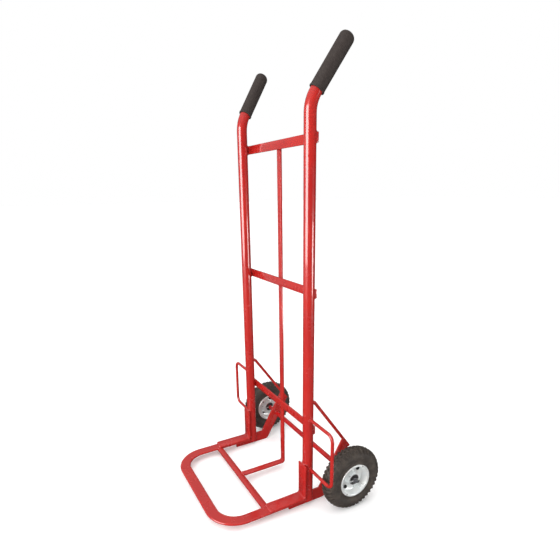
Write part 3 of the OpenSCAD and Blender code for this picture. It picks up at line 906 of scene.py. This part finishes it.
# %% Bolts and nuts
BOLT_CIRCLE = 0.034
BOLT_RADIUS = 0.003
WASHER_RADIUS = 0.0056
HEX_RADIUS = 0.006
HEX_STEPS = 24
HEX_TOP_SHARE = 0.86
BOLT_TURN = math.radians(48)
PLATE_FACE = 0.0020
HEAD_FOOT = 0.0026
HEAD_TOP = 0.0062
NUT_TOP = 0.0070
SHANK_END = -0.0108


def close_rings(shape, rings):
    """Joins rings of points into a closed solid, with a flat face at each end."""
    shape.faces.new(list(reversed(rings[0])))
    shape.faces.new(rings[-1])
    count = len(rings[0])
    for low, high in zip(rings, rings[1:]):
        for i in range(count):
            j = (i + 1) % count
            shape.faces.new((low[i], low[j], high[j], high[i]))


def hexagon_solid(shape, start, end, chamfer):
    """A hexagon bar about X at the bolt's place, chamfered round at its outer end."""
    levels = [(start, 1.0), (end - chamfer, 1.0), (end, HEX_TOP_SHARE)]
    rings = []
    for out, share in levels:
        ring = []
        for i in range(HEX_STEPS):
            a = 2 * math.pi * i / HEX_STEPS
            reach = HEX_RADIUS * math.cos(math.pi / 6) / math.cos(
                (a + math.pi / 6) % (math.pi / 3) - math.pi / 6)
            reach = min(reach, HEX_RADIUS * share)
            ring.append(shape.verts.new((out, reach * math.cos(a),
                                         BOLT_CIRCLE + reach * math.sin(a))))
        rings.append(ring)
    close_rings(shape, rings)


def round_solid(shape, levels, sides=20):
    """A turned solid about the bolt's own axis, from (out, radius) levels."""
    rings = [[shape.verts.new((out, r * math.cos(2 * math.pi * i / sides),
                               BOLT_CIRCLE + r * math.sin(2 * math.pi * i / sides)))
              for i in range(sides)] for out, r in levels]
    close_rings(shape, rings)


def bolt_shape(side):
    """Head, washer face and shank with a chamfered tip."""
    shape = bmesh.new()
    hexagon_solid(shape, HEAD_FOOT, HEAD_TOP, 0.0006)
    round_solid(shape, [(PLATE_FACE, WASHER_RADIUS), (HEAD_FOOT, WASHER_RADIUS)])
    round_solid(shape, [(SHANK_END, 0.0022), (-0.0100, BOLT_RADIUS), (HEAD_FOOT, BOLT_RADIUS)])
    return mirrored(shape, side)


def nut_shape(side):
    """A nut on the inner pressing: its bore is filled by the shank."""
    shape = bmesh.new()
    hexagon_solid(shape, PLATE_FACE, NUT_TOP, 0.0007)
    for vert in shape.verts:
        vert.co.x = -vert.co.x
    return mirrored(shape, side)


def mirrored(shape, side):
    """Turns the shape over for the right wheel and makes its faces point outwards."""
    for vert in shape.verts:
        vert.co.x *= side
    bmesh.ops.recalc_face_normals(shape, faces=shape.faces)
    return shape


for side, word in ((1, "left"), (-1, "right")):
    for kind, maker, finish in (("bolts", bolt_shape, black_bolt),
                                ("nuts", nut_shape, zinc_hardware)):
        seed = piece_from(maker(side), "rim_" + kind + "_seed_" + word)
        made = grow(seed, axle_tree, Count=4, First_turn=BOLT_TURN - math.pi / 2,
                    Centre=wheel_centre(word), Finish=finish)
        finish_piece(made, finish, "rim_" + kind + "_" + word)
        print(made.name, len(made.data.polygons), "faces")

# %% [markdown]
# ## Weld beads
# The frame is held together by short hand-laid welds, painted over. A weld is a row
# of overlapping ripples, each a little different from the last. Every seam is drawn
# as a path, and a second tree lays a flattened ripple at every step along it, with a
# random size from a fixed seed.

# %% Geometry Nodes: a weld along a path
SMALLEST_RIPPLE = (0.85, 0.85, 0.62)
LARGEST_RIPPLE = (1.12, 1.12, 0.80)


def weld_tree():
    """Builds the tree. The seams come in as a mesh of edges only."""
    tree = new_tree("weld_along_path")
    add_input(tree, "Seams", "NodeSocketGeometry")
    add_input(tree, "Ripple pitch", "NodeSocketFloat", 0.0016)
    add_input(tree, "Bead radius", "NodeSocketFloat", 0.0022)
    add_input(tree, "Seed", "NodeSocketInt", 1)
    add_input(tree, "Finish", "NodeSocketMaterial")
    new, link = tree.nodes.new, tree.links.new
    given, result = new("NodeGroupInput"), new("NodeGroupOutput")
    curve = new("GeometryNodeMeshToCurve")
    link(given.outputs["Seams"], curve.inputs[0])
    points = new("GeometryNodeCurveToPoints")
    points.mode = "LENGTH"
    link(curve.outputs[0], points.inputs["Curve"])
    link(given.outputs["Ripple pitch"], points.inputs["Length"])
    ripple = new("GeometryNodeMeshIcoSphere")
    ripple.inputs["Subdivisions"].default_value = 2
    link(given.outputs["Bead radius"], ripple.inputs["Radius"])
    chance = new("FunctionNodeRandomValue")
    chance.data_type = "FLOAT_VECTOR"
    chance.inputs[0].default_value = SMALLEST_RIPPLE
    chance.inputs[1].default_value = LARGEST_RIPPLE
    link(given.outputs["Seed"], chance.inputs["Seed"])
    copies = new("GeometryNodeInstanceOnPoints")
    link(points.outputs["Points"], copies.inputs["Points"])
    link(points.outputs["Rotation"], copies.inputs["Rotation"])
    link(ripple.outputs["Mesh"], copies.inputs["Instance"])
    link(chance.outputs[0], copies.inputs["Scale"])
    real = new("GeometryNodeRealizeInstances")
    link(copies.outputs[0], real.inputs[0])
    smooth = new("GeometryNodeSetShadeSmooth")
    link(real.outputs[0], smooth.inputs[0])
    paint = new("GeometryNodeSetMaterial")
    link(smooth.outputs[0], paint.inputs["Geometry"])
    link(given.outputs["Finish"], paint.inputs["Material"])
    link(paint.outputs[0], result.inputs[0])
    return tree


seam_tree = weld_tree()
print("tree inputs:", [i.name for i in seam_tree.interface.items_tree if i.in_out == "INPUT"])

# %% [markdown]
# The seams follow the joints of the frame: beside each tube where a crossbar is
# welded to its back, round the ends of the rods, across the strap tops and ends, along
# the wheel brackets and round the axle. Most of their places come from the solids'
# boxes, and small offsets seat each bead in its corner.

# %% Lay the welds
seams = []


def ring_seam(centre, radius, axis, count=18):
    """A closed seam round a rod; axis 0, 1 or 2 is the rod's direction."""
    first, second = [k for k in range(3) if k != axis]
    points = []
    for i in range(count + 1):
        point = list(centre)
        point[first] += radius * math.cos(2 * math.pi * i / count)
        point[second] += radius * math.sin(2 * math.pi * i / count)
        points.append(tuple(point))
    seams.append(points)


def straight_seam(start, end, count=4):
    """An open seam along a straight line."""
    start, end = Vector(start), Vector(end)
    seams.append([tuple(start.lerp(end, i / count)) for i in range(count + 1)])


bar_low, bar_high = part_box("crossbar_top")
bar_front, bar_back = bar_low[1], bar_high[1]
strap_low, strap_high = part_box("toe_strap_left")
strap_top, strap_end = strap_high[2], strap_low[1]
toe_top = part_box("toe_frame")[1][2]
toe_bar_low, toe_bar_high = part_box("toe_crossbar")
stay_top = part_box("stay_left")[1][2]
guard_low, guard_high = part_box("wheel_guard_left")
axle_low, axle_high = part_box("axle")
axle_y, axle_z = (axle_low[1] + axle_high[1]) / 2, (axle_low[2] + axle_high[2]) / 2
ROD = 0.005
ROD_SEAM = ROD + 0.0004
BAR_SEAM = 0.0066
TOE_ARM_FACE = 0.1838
BRACKET_FACE = 0.0034
AXLE_SEAM = 0.0086
RIPPLE_PITCH = 0.0017
BEAD_RADIUS = 0.0022
for side in (1, -1):
    x = side * UPRIGHT_X
    for bar in ("crossbar_top", "crossbar_middle", "crossbar_lower"):
        low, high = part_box(bar)
        for edge in (-BAR_SEAM, BAR_SEAM):
            straight_seam((x + edge, bar_front - 0.0009, low[2] + 0.001),
                          (x + edge, bar_front - 0.0009, high[2] - 0.001))
        for z in (low[2] - 0.0002, high[2] + 0.0002):
            straight_seam((x - 0.0062, bar_front - 0.0006, z),
                          (x + 0.0062, bar_front - 0.0006, z))
        straight_seam((side * 0.0103, bar_back + 0.0003, low[2] + 0.002),
                      (side * 0.0103, bar_back + 0.0003, high[2] - 0.002))
    seams.append([(x + TUBE_RADIUS * math.sin(math.radians(a)),
                   upright_y - TUBE_RADIUS * math.cos(math.radians(a)), strap_top + 0.0004)
                  for a in range(-52, 53, 8)])
    straight_seam((x - 0.017, strap_end + 0.0003, toe_top + 0.0012),
                  (x + 0.017, strap_end + 0.0003, toe_top + 0.0012))
    straight_seam((side * TOE_ARM_FACE, toe_bar_low[1] + 0.002, toe_top - 0.0012),
                  (side * TOE_ARM_FACE, toe_bar_high[1] - 0.001, toe_top - 0.0012))
    straight_seam((x - 0.011, upright_y - 0.0150, toe_top + 0.0008),
                  (x + 0.011, upright_y - 0.0150, toe_top + 0.0008))
    for face in (-BRACKET_FACE, BRACKET_FACE):
        straight_seam((x + face, upright_y + TUBE_RADIUS + 0.0001, 0.0150),
                      (x + face, upright_y + TUBE_RADIUS + 0.0001, 0.0375))
        ring_seam((x + face * 1.08, axle_y, axle_z), AXLE_SEAM, 0)
    ring_seam((x, upright_y + TUBE_RADIUS + 0.0004, stay_top - ROD), ROD_SEAM, 1)
    for z in (guard_low[2] + ROD, guard_high[2] - ROD):
        ring_seam((side * (UPRIGHT_X + TUBE_RADIUS + 0.0004), upright_y, z), ROD_SEAM, 0)
straight_seam((-0.009, toe_bar_high[1] + 0.0003, toe_top - 0.0008),
              (0.009, toe_bar_high[1] + 0.0003, toe_top - 0.0008))

seam_points, seam_edges = [], []
for path in seams:
    first = len(seam_points)
    seam_points += path
    seam_edges += [(first + i, first + i + 1) for i in range(len(path) - 1)]
seam_mesh = bpy.data.meshes.new("weld_beads")
seam_mesh.from_pydata(seam_points, seam_edges, [])
seam_piece = bpy.data.objects.new("weld_beads", seam_mesh)
bpy.context.collection.objects.link(seam_piece)
welds = grow(seam_piece, seam_tree, Ripple_pitch=RIPPLE_PITCH, Bead_radius=BEAD_RADIUS,
             Seed=11, Finish=red_enamel)
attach(welds, "frame")
print(len(seams), "seams,", len(welds.data.polygons), "faces")
